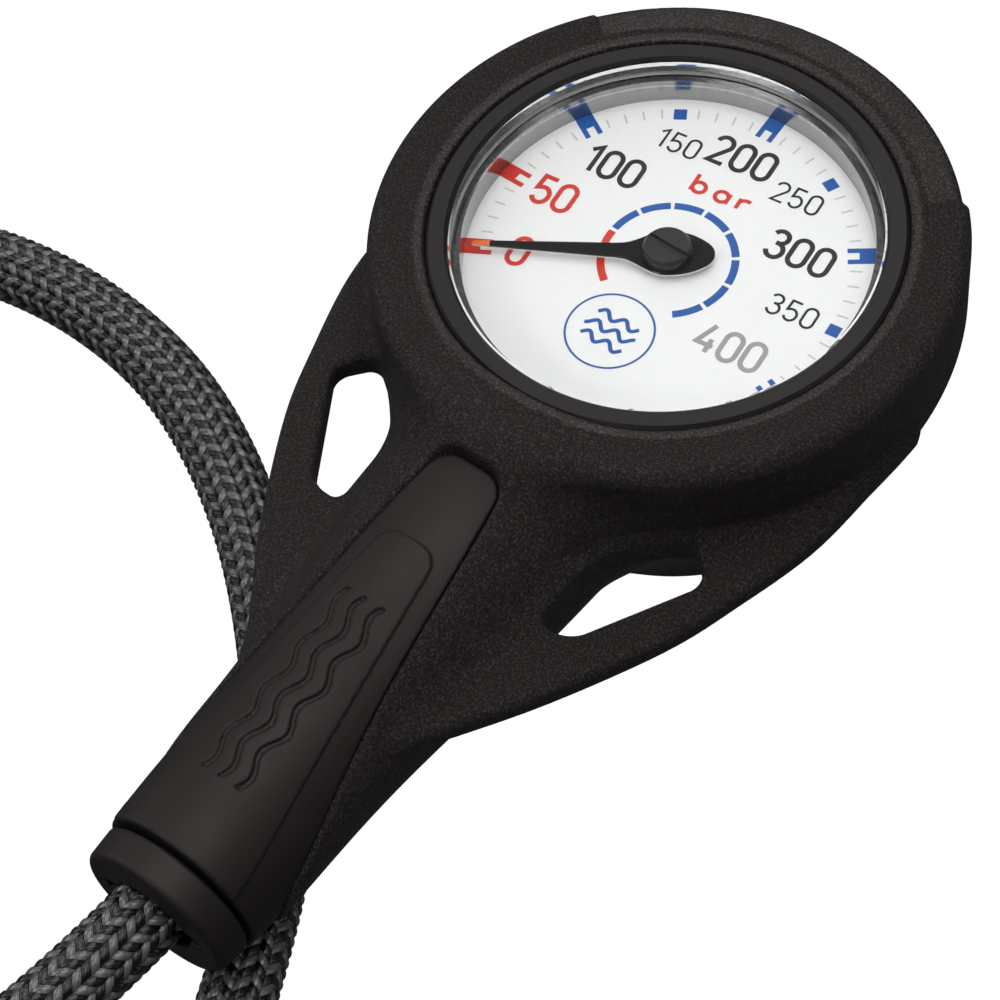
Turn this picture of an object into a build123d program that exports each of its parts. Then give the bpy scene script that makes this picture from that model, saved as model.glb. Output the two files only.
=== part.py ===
from build123d import *
import os
from math import cos, sin, tan, radians, degrees, pi, hypot, atan2

# Diver's submersible pressure gauge in its rubber boot, with its braided high pressure hose.
# Millimetres. The flat back of the boot lies on Z = 0, the dial looks up +Z on the axis X = Y = 0,
# the grip points along -Y and the boot is the same either side of X = 0.

# Driving dimensions: boot
BOOT_TOP = 36.0
HEAD_R = 35.2
HEAD_WALL_LOW = 21.0
HEAD_ROUND = 2.0
LIP_IN_R = 28.2
LIP_UNDER = 34.5
BACK_R = 26.0
RECESS_R = 34.5
RECESS_HALF_ANGLE = 50.0
RECESS_CREST_R = 30.5
RECESS_DROP = 0.7
WING_TOP = 24.0
WING_THICK = 3.6
GRIP_Z = 19.0
GRIP_FLAT_Z = 9.6
SHELL_END = -88.0
WINDOW_TOP = -37.0
WINDOW_TOP_HALF = 4.6
WINDOW_END_HALF = 11.4
VENT_R = 6.0
VENT_Y = 8.0

# Outside radius of the grip at places along it, and the right clip loop's outer edge and hole
GRIP_STATIONS = ((16.5, -20.0), (14.9, -32.0), (14.2, -40.0), (13.6, -49.0), (12.1, -61.0), (11.2, -74.0),
                 (10.8, SHELL_END))
WING_EDGE = ((35.0, -1.0), (34.9, -10.4), (33.9, -20.0), (31.0, -30.2), (27.6, -39.6), (20.8, -52.2),
             (14.2, -62.2), (12.0, -66.0))
WING_EDGE_ROUND = 1.2
CLIP_HOLE = ((14.3, -45.6), (18.6, -45.4), (26.9, -31.2), (23.3, -27.2), (17.5, -31.5), (14.6, -36.0))
CLIP_HOLE_CORNER = 1.3

# Grip sleeve and end collar
SLEEVE_END = -91.8
SLEEVE_BORE_R = 8.5
SLEEVE_MOUTH_R = 7.3
PANEL_TOP = -48.5
PANEL_RISE = 0.35
COLLAR_START = -92.4
COLLAR_END = -96.6
COLLAR_R = 9.5
COLLAR_HOLE_R = 6.4

# Gauge
CASE_R = 29.8
CASE_LOW = 7.0
CASE_TOP = 32.5
CASE_IN_R = 26.4
CASE_FLOOR = 9.5
DIAL_FACE = 28.0
DIAL_THICK = 0.6
DIAL_R = 26.2
DIAL_RING_IN_R = 24.3
LENS_R = 25.5
LENS_LOW = 31.5
LENS_TOP = 35.5
LENS_CHAMFER = 0.2
GASKET_IN_R = 25.35
GASKET_THICK = 0.5
FLANGE_R = 26.2
FLANGE_TOP = 32.4
BEZEL_IN_R = 25.6
BEZEL_R = 28.1

# Movement
MODULE = 0.25
PINION_TEETH = 14
SECTOR_TEETH = 112
ZERO_ANGLE = 209.7        # the pointer's direction at 0 bar, from +X towards +Y
SWEEP = 231.68            # the dial's sweep from 0 to 400 bar
PIVOT_ANGLE = 194.0       # where the sector's arbor stands, seen from the pinion
LINK_ARM_R = 4.5
LINK_ARM_ANGLE = 34.8
LINK_LENGTH = 9.0
LOWER_PLATE = (12.5, 13.7)
UPPER_PLATE = (22.5, 23.7)
SECTOR_Z = (15.8, 17.0)
LINK_Z = (17.4, 18.2)
PIVOT_R = 0.6
PIVOT_PLAY = 0.03
PILLARS = ((7.2, 6.5), (7.2, -12.8), (-13.0, -12.0))
TONGUE_SCREWS = ((-3.2, -12.0), (2.6, -12.0))
SCREW_HOLE_R = 0.8
TUBE_IN_R = 19.9
TUBE_OUT_R = 23.1
TUBE_Z = (14.5, 23.5)
TUBE_WALL = 0.6
TUBE_START = 287.0
TUBE_SWEEP = 229.0

# Stem, swivel and hose
THREAD_R = 5.556          # 7/16-20 UNF
STEM_END = -44.0
NUT_FLATS = 14.0
NUT_START = -36.4
NUT_END = -50.0
HOSE_D = 9.0
FERRULE_R = 6.9
FERRULE_START = -54.2
FERRULE_END = -76.0
COIL_CENTRE = (-82.0, -133.0)
COIL_R = 45.0
COIL_JOIN = -80.0         # where the near end comes onto the turns, from +X towards +Y
COIL_OVERLAP_END = -190.0  # up to here, clockwise from the join, two turns lie on each other
COIL_ROOM = 0.6
END_FITTING = (18.0, -141.5, 7.0)
END_HEADING = 272.0       # where the far fitting points, from +X towards +Y
INSERTED = 14.0           # how far each end of the hose goes into its ferrule
BARB_R = 2.4
BARB_ROOM = 0.02

# The hose's route: points where straight runs would meet
ROUTE_NEAR = ((0.0, -76.0, 19.0), (0.0, -110.7, 19.0), (-14.6, -147.0, 17.0), (-44.6, -172.1, 14.6),
              (-74.2, -177.3, 13.5))
ROUTE_FAR = ((-127.0, -133.0, 4.5), (-129.3, -104.2, 4.5), (-130.2, -79.2, 4.5), (-121.2, -55.9, 4.5),
             (-103.0, -39.2, 4.5), (-80.0, -32.4, 4.5), (-59.5, -33.2, 4.5), (-42.5, -39.2, 4.5),
             (-24.0, -51.5, 4.5), (-3.2, -73.0, 4.5), (8.6, -96.0, 4.5), (17.2, -119.5, 6.2),
             END_FITTING)

PITCH_CENTRES = MODULE * (PINION_TEETH + SECTOR_TEETH) / 2


def polar(radius, angle, centre=(0.0, 0.0)):
    return (centre[0] + radius * cos(radians(angle)), centre[1] + radius * sin(radians(angle)))


PIVOT = polar(PITCH_CENTRES, PIVOT_ANGLE)
LINK_PIN_LOCAL = polar(LINK_ARM_R, LINK_ARM_ANGLE)
LINK_PIN = polar(LINK_ARM_R, LINK_ARM_ANGLE, PIVOT)
TIP_PIN = polar(LINK_LENGTH, LINK_ARM_ANGLE + 90, LINK_PIN)


# Small shape helpers
def disc(radius, z_low, z_high, x=0.0, y=0.0):
    standing = (Align.CENTER, Align.CENTER, Align.MIN)
    return Pos(x, y, z_low) * Cylinder(radius, z_high - z_low, align=standing)


def ring(r_out, r_in, z_low, z_high, x=0.0, y=0.0):
    return disc(r_out, z_low, z_high, x, y) - disc(r_in, z_low - 1, z_high + 1, x, y)


def rod_y(radius, y_from, y_to, x=0.0, z=GRIP_Z):
    length = abs(y_to - y_from)
    return Pos(x, (y_from + y_to) / 2, z) * Rot(90, 0, 0) * Cylinder(radius, length)


def tube_y(r_out, r_in, y_from, y_to):
    return rod_y(r_out, y_from, y_to) - rod_y(r_in, min(y_from, y_to) - 1, max(y_from, y_to) + 1)


def block(x, y, z):
    """A box from three (low, high) pairs."""
    size = [high - low for low, high in (x, y, z)]
    return Pos(x[0], y[0], z[0]) * Box(*size, align=(Align.MIN, Align.MIN, Align.MIN))


def turned(points):
    """Revolve an (r, z) outline about the dial axis."""
    outline = make_face(Polyline(*[(r, 0, z) for r, z in points], close=True))
    return revolve(outline, Axis.Z)


def turned_y(points):
    """Revolve an (r, y) outline about the grip's axis."""
    outline = make_face(Polyline(*[(r, y, GRIP_Z) for r, y in points], close=True))
    return revolve(outline, Axis((0, 0, GRIP_Z), (0, 1, 0)))


def plate(face, z_low, z_high):
    return Pos(0, 0, z_low) * extrude(face, z_high - z_low, dir=(0, 0, 1))


def mirrored(part):
    return mirror(part, about=Plane.YZ)


def hexagon_y(flats, y_from, y_to):
    face = Pos(0, y_from, GRIP_Z) * Rot(90, 0, 0) * RegularPolygon(flats / 2, 6, major_radius=False)
    return extrude(face, abs(y_to - y_from), dir=(0, -1 if y_to < y_from else 1, 0))


# Boot
def head_outside():
    with BuildPart() as head:
        with BuildSketch(Plane.XZ):
            with BuildLine():
                Polyline((0, 0), (BACK_R - 1.2, 0))
                Line((BACK_R - 1.2, 0), (BACK_R, 1.2))
                Spline((BACK_R, 1.2), (28.0, 7.0), (31.4, 14.6), (HEAD_R, HEAD_WALL_LOW),
                       tangents=((0.3, 1), (0.35, 1)))
                Line((HEAD_R, HEAD_WALL_LOW), (HEAD_R, BOOT_TOP - HEAD_ROUND))
                RadiusArc((HEAD_R, BOOT_TOP - HEAD_ROUND), (HEAD_R - HEAD_ROUND, BOOT_TOP), -HEAD_ROUND)
                Polyline((HEAD_R - HEAD_ROUND, BOOT_TOP), (0, BOOT_TOP), (0, 0))
            make_face()
        revolve(axis=Axis.Z)
    return head.part


def head_recess():
    """The smooth, slightly smaller stretch of rim at the far end, as a cutter."""
    slope_end = BOOT_TOP - RECESS_DROP
    cutter = turned([(RECESS_CREST_R, BOOT_TOP), (RECESS_R - 0.5, slope_end), (RECESS_R, slope_end - 0.6),
                     (RECESS_R, HEAD_WALL_LOW + 1.0), (HEAD_R + 3, HEAD_WALL_LOW + 1.0),
                     (HEAD_R + 3, BOOT_TOP + 2), (RECESS_CREST_R, BOOT_TOP + 2)])
    reach = 60.0
    side = reach * tan(radians(RECESS_HALF_ANGLE))
    wedge = make_face(Polyline((0, 0), (side, reach), (-side, reach), close=True))
    return cutter & plate(wedge, 0, BOOT_TOP + 3)


def wing():
    """The right-hand clip loop."""
    first, last = WING_EDGE[0], WING_EDGE[-1]
    inside = Polyline(last, (8.0, last[1]), (8.0, first[1]), first)
    outline = make_face(Spline(*WING_EDGE) + inside)
    body = plate(outline, WING_TOP - WING_THICK, WING_TOP)
    longest = [e for e in body.edges() if e.length > 60]
    return fillet(longest, WING_EDGE_ROUND) - clip_hole()


def clip_hole():
    outline = make_face(Polyline(*CLIP_HOLE, close=True))
    outline = fillet(outline.vertices(), CLIP_HOLE_CORNER)
    return plate(outline, 0, BOOT_TOP)


def grip_solid(inset=0.0, start=-20.0, end=SHELL_END):
    """The tapered grip's outside, drawn in by inset, between two places along it."""
    outline = [(r - inset, y) for r, y in GRIP_STATIONS]
    first, last = outline[0], outline[-1]
    with BuildPart() as grip:
        with BuildSketch(Plane.XY):
            with BuildLine():
                Spline(*outline)
                Polyline(last, (last[0] - 0.6, last[1] - 8), (0, last[1] - 8), (0, first[1]), first)
            make_face()
        revolve(axis=Axis.Y)
    solid = Pos(0, 0, GRIP_Z) * grip.part
    return solid & block((-40, 40), (end, start), (0, 60))


def window_outline(top, top_half, end_half, corner):
    """Tongue shape that widens towards the grip's end."""
    face = make_face(Polyline((-top_half, top), (top_half, top), (end_half, SHELL_END), (end_half, -100.0),
                              (-end_half, -100.0), (-end_half, SHELL_END), close=True))
    upper = [v for v in face.vertices() if v.Y > top - 1]
    return fillet(upper, corner)


def above_flat():
    """Space over the flat underside that lets the hose pass below the grip."""
    return block((-60, 60), (-60, 60), (0, 60)) + block((-60, 60), (-100, -52), (GRIP_FLAT_Z, 60))


def boot_shell():
    body = head_outside() - head_recess()
    body += grip_solid()
    body += wing() + mirrored(wing())
    body &= above_flat()
    body -= clip_hole() + mirrored(clip_hole())
    cavity = turned([(0, CASE_LOW), (25.0, CASE_LOW), (27.8, 13.0), (CASE_R, 18.0), (CASE_R, LIP_UNDER),
                     (LIP_IN_R, LIP_UNDER), (LIP_IN_R, BOOT_TOP + 1), (0, BOOT_TOP + 1)])
    body -= cavity
    body -= grip_solid(inset=1.6, start=-26.5, end=SHELL_END - 1)
    window = plate(window_outline(WINDOW_TOP, WINDOW_TOP_HALF, WINDOW_END_HALF, 2.6), GRIP_Z, 50)
    body -= window & block((-30, 30), (-100, -30), (GRIP_Z, 50))
    body -= disc(VENT_R, -1, CASE_LOW + 1, 0, VENT_Y)
    return body


def grip_sleeve():
    """Smooth sleeve inside the shell. It fills the window to just under the shell's surface."""
    under_shell = grip_solid(inset=1.6, start=-36.0, end=SLEEVE_END)
    in_window = grip_solid(inset=0.75, start=-36.0, end=SLEEVE_END)
    window = plate(window_outline(WINDOW_TOP - 0.05, WINDOW_TOP_HALF - 0.05, WINDOW_END_HALF - 0.05, 2.55),
                   GRIP_Z, 50)
    body = under_shell + (in_window & window)
    tail = turned_y([(0, SHELL_END - 0.1), (10.1, SHELL_END - 0.1), (9.85, SLEEVE_END + 0.4),
                     (9.5, SLEEVE_END), (0, SLEEVE_END)])
    body += tail
    panel = plate(window_outline(PANEL_TOP, 3.8, 8.6, 2.2), GRIP_Z, 50)
    body += grip_solid(inset=0.75 - PANEL_RISE, start=PANEL_TOP, end=SHELL_END) & panel
    body &= above_flat()
    body -= rod_y(SLEEVE_BORE_R, -30, FERRULE_START)
    body -= rod_y(SLEEVE_MOUTH_R, -30, -100)
    return body


def end_collar():
    body = turned_y([(0, COLLAR_START), (COLLAR_R - 0.3, COLLAR_START), (COLLAR_R, COLLAR_START - 0.4),
                     (COLLAR_R - 0.25, COLLAR_END + 0.8), (COLLAR_R - 1.0, COLLAR_END), (0, COLLAR_END)])
    body += rod_y(SLEEVE_MOUTH_R + 0.9, COLLAR_START + 0.6, COLLAR_START - 0.5)
    return body - rod_y(COLLAR_HOLE_R, COLLAR_START + 2, COLLAR_END - 1)


# Gauge
def gauge_case():
    wall_r = CASE_R - 0.1
    dial_seat = DIAL_FACE - DIAL_THICK
    body = turned([(0, CASE_LOW), (24.6, CASE_LOW), (27.6, 13.2), (wall_r, 18.0), (wall_r, CASE_TOP),
                   (CASE_IN_R, CASE_TOP), (CASE_IN_R, dial_seat), (24.9, dial_seat),
                   (CASE_IN_R, 25.9), (CASE_IN_R, 13.4), (22.8, CASE_FLOOR), (0, CASE_FLOOR)])
    body -= rod_y(6.0, -20, -40)
    return body - disc(4.0, CASE_LOW - 1, CASE_FLOOR + 1, 0, VENT_Y)


def blowout_plug():
    stem = disc(3.95, CASE_LOW - 0.6, CASE_FLOOR, 0, VENT_Y)
    return stem + disc(5.2, CASE_LOW - 1.4, CASE_LOW - 0.02, 0, VENT_Y)


def bezel_ring():
    foot_r = CASE_R - 0.2
    low, step, top = CASE_TOP + 0.05, LIP_UNDER - 0.05, BOOT_TOP - 0.05
    return turned([(BEZEL_IN_R, low), (foot_r, low), (foot_r, step), (BEZEL_R, step), (BEZEL_R, top - 0.4),
                   (BEZEL_R - 0.4, top), (BEZEL_IN_R + 0.3, top), (BEZEL_IN_R, top - 0.3)])


def lens():
    return turned([(0, LENS_LOW), (FLANGE_R, LENS_LOW), (FLANGE_R, FLANGE_TOP), (LENS_R, FLANGE_TOP),
                   (LENS_R, LENS_TOP - LENS_CHAMFER), (LENS_R - LENS_CHAMFER, LENS_TOP), (0, LENS_TOP)])


def lens_gasket():
    return ring(FLANGE_R, GASKET_IN_R, LENS_LOW - GASKET_THICK, LENS_LOW)


def dial_ring():
    """Bright spacer between dial and lens. Its inner lip stands up inside the gasket."""
    body = ring(DIAL_R, DIAL_RING_IN_R, DIAL_FACE, LENS_LOW - GASKET_THICK)
    return body + ring(GASKET_IN_R - 0.03, DIAL_RING_IN_R, DIAL_FACE, LENS_LOW - 0.02)


def dial_plate():
    return ring(DIAL_R, 1.5, DIAL_FACE - DIAL_THICK, DIAL_FACE)


def pointer():
    """Flat needle: a wide lozenge round the hub and a long tapered arm."""
    half = make_face(Polyline((-5.6, 0), (-5.45, 0.8), (-4.8, 1.6), (-2.9, 2.7), (-1.1, 3.15), (0.6, 3.2),
                              (2.4, 2.5), (4.4, 1.4), (6.2, 1.05), (21.1, 0.42), (23.3, 0.2), (23.3, 0),
                              close=True))
    outline = half + mirror(half, about=Plane.XZ)
    return Rot(0, 0, ZERO_ANGLE) * (plate(outline, 29.0, 29.5) - disc(0.6, 28, 31))


def pointer_hub():
    slot = Rot(0, 0, 178.0) * block((-5, 5), (-0.35, 0.35), (30.5, 32))
    cap = turned([(0.62, 29.5), (2.9, 29.5), (2.9, 30.5), (2.6, 30.9), (0.62, 30.9)])
    return cap + disc(0.9, 30.4, 30.9) - slot


# Movement
def tooth(radius, direction, root, half_root, half_tip):
    """One straight-sided tooth that stands on the circle `root` and ends at `radius`."""
    face = make_face(Polyline((root - 0.15, half_root), (radius, half_tip), (radius, -half_tip),
                              (root - 0.15, -half_root), close=True))
    return Rot(0, 0, direction) * face


def pinion_arbor():
    pitch_r = MODULE * PINION_TEETH / 2
    gear = Circle(pitch_r - 0.31)
    for k in range(PINION_TEETH):
        turn = PIVOT_ANGLE + (k + 0.5) * 360 / PINION_TEETH
        gear += tooth(pitch_r + 0.21, turn, pitch_r - 0.31, 0.2, 0.07)
    body = plate(gear, SECTOR_Z[0] - 0.3, SECTOR_Z[1] + 0.3)
    body += disc(PIVOT_R, LOWER_PLATE[0], 30.38)
    return body + disc(1.0, LOWER_PLATE[1] + 0.2, UPPER_PLATE[0] - 0.2)


def sector_gear():
    """Toothed arc on an arm that also carries the link's pin."""
    pitch_r = MODULE * SECTOR_TEETH / 2
    step = 360 / SECTOR_TEETH
    rim = Circle(pitch_r - 0.31) - Circle(pitch_r - 2.2)
    wedge = make_face(Polyline((0, 0), polar(30, -23), polar(30, 0), polar(30, 22.0), close=True))
    gear = rim & wedge
    for k in range(-11, 3):
        gear += tooth(pitch_r + 0.21, PIVOT_ANGLE - 180 + k * step, pitch_r - 0.31, 0.17, 0.06)
    for spoke in (-21.5, 20.5):
        gear += Rot(0, 0, spoke) * Pos(pitch_r / 2, 0) * Rectangle(pitch_r - 1.5, 1.1)
    gear += Circle(2.2)
    arm = Rot(0, 0, LINK_ARM_ANGLE) * Pos(LINK_ARM_R / 2, 0) * Rectangle(LINK_ARM_R, 2.0)
    gear += arm + Pos(*LINK_PIN_LOCAL) * Circle(1.3)
    gear -= Circle(1.0) + Pos(*LINK_PIN_LOCAL) * Circle(PIVOT_R)
    return Pos(PIVOT[0], PIVOT[1]) * plate(gear, *SECTOR_Z)


def sector_arbor():
    body = disc(1.0, LOWER_PLATE[1] + 0.2, UPPER_PLATE[0] - 0.2, *PIVOT)
    return body + disc(PIVOT_R, LOWER_PLATE[0], UPPER_PLATE[1], *PIVOT)


def plate_outline():
    corners = ((-18.0, -1.6), (-18.0, -6.5), (-15.6, -14.2), (9.4, -15.2), (9.4, 8.8), (-0.5, 8.8))
    face = make_face(Polyline(*corners, close=True))
    return fillet(face.vertices(), 2.0)


def movement_plate(z_low, z_high, screw_holes):
    face = plate_outline() - Circle(PIVOT_R + PIVOT_PLAY) - Pos(*PIVOT) * Circle(PIVOT_R + PIVOT_PLAY)
    for spot in screw_holes:
        face -= Pos(*spot) * Circle(SCREW_HOLE_R)
    return plate(face, z_low, z_high)


def lower_plate():
    return movement_plate(*LOWER_PLATE, PILLARS + TONGUE_SCREWS)


def upper_plate():
    return movement_plate(*UPPER_PLATE, PILLARS)


def plate_pillars():
    return [disc(1.5, LOWER_PLATE[1], UPPER_PLATE[0], *p) - disc(SCREW_HOLE_R, 0, 40, *p) for p in PILLARS]


def screw(spot, head_z, tip_z, head_r=1.6, shank_r=0.78):
    """Slotted cheese-head screw. The head stands away from the tip, along Z."""
    up = 1 if head_z > tip_z else -1
    head_end = head_z + up * 0.9
    low, high = sorted((head_z, head_end))
    body = disc(head_r, low, high, *spot)
    low, high = sorted((head_z, tip_z))
    body += disc(shank_r, low, high, *spot)
    x, y = spot
    low, high = sorted((head_end - up * 0.4, head_end + up))
    return body - block((x - 2, x + 2), (y - 0.22, y + 0.22), (low, high))


def plate_screws():
    return [screw(p, UPPER_PLATE[1], LOWER_PLATE[0]) for p in PILLARS]


def movement_screws():
    return [screw(p, LOWER_PLATE[0], 15.4) for p in TONGUE_SCREWS]


def link_bar():
    mid = [(a + b) / 2 for a, b in zip(LINK_PIN, TIP_PIN)]
    face = Pos(*mid) * Rot(0, 0, LINK_ARM_ANGLE + 90) * Rectangle(LINK_LENGTH, 1.5)
    face += Pos(*LINK_PIN) * Circle(1.3) + Pos(*TIP_PIN) * Circle(1.6)
    face -= Pos(*LINK_PIN) * Circle(PIVOT_R + PIVOT_PLAY) + Pos(*TIP_PIN) * Circle(0.85)
    return plate(face, *LINK_Z)


def link_pin():
    top = LINK_Z[1]
    return disc(PIVOT_R, SECTOR_Z[0], top + 0.3, *LINK_PIN) + disc(1.0, top + 0.25, top + 0.7, *LINK_PIN)


def tip_pin():
    low = LINK_Z[0]
    return disc(0.55, low - 0.3, TUBE_Z[0] + 5.6, *TIP_PIN) + disc(1.1, low - 0.7, low - 0.28, *TIP_PIN)


def hairspring():
    """Flat spiral round the pinion's arbor, with its outer end pinned to a pillar."""
    turns = 4.0
    r_in, r_out = 1.2, 6.2
    steps = int(turns * 24)
    path = []
    for k in range(steps + 1):
        t = k / steps
        path.append(polar(r_in + (r_out - r_in) * t, 42 + 360 * turns * t))
    centre = Spline(*[(x, y, 0) for x, y in path])
    strip = trace(centre, 0.14)
    collet = Circle(1.35) - Circle(1.0)
    return plate(strip + collet, 20.0, 20.7)


def tube_section(wall=0.0):
    """The flattened tube's outer section, or its bore where a wall is given."""
    wide, tall = TUBE_OUT_R - TUBE_IN_R, TUBE_Z[1] - TUBE_Z[0]
    place = Plane.XZ * Pos((TUBE_IN_R + TUBE_OUT_R) / 2, (TUBE_Z[0] + TUBE_Z[1]) / 2)
    return place * RectangleRounded(wide - 2 * wall, tall - 2 * wall, wide / 2 - wall - 0.05)


def bourdon_tube():
    face = tube_section() - tube_section(TUBE_WALL)
    return Rot(0, 0, TUBE_START) * revolve(face, Axis.Z, TUBE_SWEEP)


def bourdon_tip():
    """Cap that closes the tube, with a lug for the link's pin."""
    centre_r = (TUBE_IN_R + TUBE_OUT_R) / 2
    wide, tall = TUBE_OUT_R - TUBE_IN_R, TUBE_Z[1] - TUBE_Z[0]
    face = Plane.XZ * Pos(centre_r, (TUBE_Z[0] + TUBE_Z[1]) / 2) * RectangleRounded(wide, tall, 0.6)
    cap = Rot(0, 0, TUBE_START + TUBE_SWEEP + 0.8) * revolve(face, Axis.Z, 6.5)
    x, y = TIP_PIN
    root = polar(TUBE_IN_R + 0.6, TUBE_START + TUBE_SWEEP + 3.6)
    middle = ((x + root[0]) / 2, (y + root[1]) / 2)
    reach = hypot(root[0] - x, root[1] - y)
    turn = degrees(atan2(root[1] - y, root[0] - x))
    lug = Pos(*middle) * Rot(0, 0, turn) * Rectangle(reach, 2.0) + Pos(x, y) * Circle(1.3)
    lug = plate(lug, 18.6, 20.0) - disc(0.55, 10, 30, x, y)
    return cap + lug


# Inlet, swivel and hose fittings
def inlet_socket():
    """Block that carries the movement and the tube, and the threaded stem outside the case."""
    body = block((-6.4, 6.4), (-25.6, -16.4), (LOWER_PLATE[1], 25.0))
    body += block((-5.2, 4.8), (-17.0, -9.8), (LOWER_PLATE[1], 15.2))
    body += rod_y(5.9, -25.6, -31.4)
    body += rod_y(THREAD_R, -31.4, STEM_END)
    body -= rod_y(2.55, STEM_END - 1, STEM_END + 7)
    body -= rod_y(1.2, STEM_END, -19.5)
    body -= Pos(0, -19.5, GRIP_Z) * Rot(0, 90, 0) * Pos(0, 0, 4) * Cylinder(0.9, 8)
    for spot in TONGUE_SCREWS:
        body -= disc(SCREW_HOLE_R, 0, 15.4, *spot)
    return body - Rot(0, 0, TUBE_START) * revolve(tube_section(), Axis.Z, 15)


def stem_o_ring():
    return Pos(0, -32.3, GRIP_Z) * Rot(90, 0, 0) * Torus(THREAD_R + 0.95, 0.9)


def restrictor():
    return tube_y(1.18, 0.25, -30.0, -34.0)


def air_spool():
    body = rod_y(2.25, -38.0, -50.0) - rod_y(0.7, -36, -52)
    for y in (-40.2, -47.6):
        body -= tube_y(3, 1.75, y - 0.55, y + 0.55)
    return body


def spool_o_rings():
    return [Pos(0, y, GRIP_Z) * Rot(90, 0, 0) * Torus(2.13, 0.37) for y in (-40.2, -47.6)]


def swivel_nut():
    body = hexagon_y(NUT_FLATS, NUT_START, NUT_END) & turned_y(
        [(0, NUT_START), (7.2, NUT_START), (8.2, NUT_START - 0.9), (8.2, NUT_END + 0.9), (7.2, NUT_END),
         (0, NUT_END)])
    body -= rod_y(THREAD_R + 0.04, NUT_START + 1, NUT_END + 2.6)
    return body - rod_y(4.25, NUT_START, NUT_END - 1)


def hose_insert():
    """Flanged tail that turns inside the nut, with a barb inside the hose."""
    body = rod_y(5.3, STEM_END - 0.25, NUT_END + 2.7) + rod_y(4.2, STEM_END - 1, NUT_END - 1.5)
    body += rod_y(6.4, NUT_END - 0.3, FERRULE_START)
    body += rod_y(BARB_R, FERRULE_START, FERRULE_END + 4)
    body -= rod_y(2.55, STEM_END + 1, -50.6)
    return body - rod_y(1.5, -45, -100)


def crimp_ferrule():
    """Crimped sleeve about the grip's axis, with two rolled grooves."""
    points = [(4.55, FERRULE_START - 0.05), (FERRULE_R - 0.5, FERRULE_START - 0.05),
              (FERRULE_R, FERRULE_START - 0.6)]
    for y in (-60.5, -68.0):
        points += [(FERRULE_R, y + 1.6), (FERRULE_R - 0.5, y + 1.1), (FERRULE_R - 0.5, y - 1.1),
                   (FERRULE_R, y - 1.6)]
    points += [(FERRULE_R, FERRULE_END + 0.8), (FERRULE_R - 0.8, FERRULE_END), (4.55, FERRULE_END)]
    return turned_y(points)


def at_far_end(part):
    """Move a fitting drawn on the grip's axis, with the hose towards +Y, to the hose's far end."""
    return Pos(*END_FITTING) * Rot(0, 0, END_HEADING + 90) * Pos(0, 0, -GRIP_Z) * part


def far_ferrule():
    points = [(4.55, 0), (FERRULE_R - 0.8, 0), (FERRULE_R, 0.8)]
    for y in (7.0, 14.5):
        points += [(FERRULE_R, y - 1.6), (FERRULE_R - 0.5, y - 1.1), (FERRULE_R - 0.5, y + 1.1),
                   (FERRULE_R, y + 1.6)]
    points += [(FERRULE_R, 21.4), (FERRULE_R - 0.5, 21.9), (4.55, 21.9)]
    return at_far_end(turned_y([(r, -y) for r, y in points]))


def port_fitting():
    """Male 7/16-20 fitting with a hexagon and a nose groove for its O-ring."""
    body = hexagon_y(NUT_FLATS, -22.3, -31.0) & turned_y(
        [(0, -22.3), (7.2, -22.3), (8.2, -23.2), (8.2, -30.1), (7.2, -31.0), (0, -31.0)])
    body += rod_y(4.5, -21.9, -22.4) + rod_y(BARB_R, -4.0, -22.0)
    body += rod_y(4.4, -30.9, -33.2)
    body += turned_y([(0, -33.2), (THREAD_R - 0.7, -33.2), (THREAD_R, -33.9), (THREAD_R, -42.2),
                      (THREAD_R - 0.7, -43.0), (0, -43.0)])
    return at_far_end(body - rod_y(1.2, 0, -50))


def port_o_ring():
    return at_far_end(Pos(0, -32.05, GRIP_Z) * Rot(90, 0, 0) * Torus(5.35, 0.95))


# Hose
def hose_radii(points):
    """The arc at each corner takes 0.45 of its shorter run."""
    radii = []
    for before, here, after in zip(points, points[1:], points[2:]):
        into, out = Vector(here) - Vector(before), Vector(after) - Vector(here)
        half = radians(into.get_angle(out)) / 2
        radii.append(0.45 * min(into.length, out.length) / tan(half))
    return radii


def hose_tube(name, points):
    radii = hose_radii(points)
    path = FilletPolyline(*points, radius=radii)
    start = Plane(points[0], z_dir=Vector(points[1]) - Vector(points[0]))
    tube = sweep(start * Circle(HOSE_D / 2), path=path)
    ideal = pi * HOSE_D ** 2 / 4 * path.length
    print(f"{name}: length {path.length:.1f}, radii {[round(r) for r in radii]}, volume ratio "
          f"{tube.volume / ideal:.4f}")
    return tube


def hose_near():
    inside = rod_y(HOSE_D / 2, FERRULE_END, FERRULE_END + INSERTED)
    core = rod_y(BARB_R + BARB_ROOM, FERRULE_END - 1, FERRULE_START + 2)
    return hose_tube("hose_near", ROUTE_NEAR) + inside - core


def hose_far():
    tube = hose_tube("hose_far", ROUTE_FAR)
    barb = BARB_R + BARB_ROOM
    inside = at_far_end(rod_y(HOSE_D / 2, 0, -INSERTED) - rod_y(barb, 1, -INSERTED - 1))
    return tube + inside - at_far_end(rod_y(barb, 0.2, -5))


def hose_coil():
    """The put-away turns as one ring of their outer shape, thicker where two turns lie on each other."""
    width = HOSE_D + 2 * COIL_ROOM
    one = Plane.XZ * Pos(COIL_R, HOSE_D / 2) * RectangleRounded(width, HOSE_D, 4.0)
    two = Plane.XZ * Pos(COIL_R, HOSE_D) * RectangleRounded(width, 2 * HOSE_D, 4.0)
    stacked = Rot(0, 0, COIL_OVERLAP_END) * revolve(two, Axis.Z, COIL_JOIN - COIL_OVERLAP_END)
    return Pos(*COIL_CENTRE) * (revolve(one, Axis.Z) + stacked)


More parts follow.
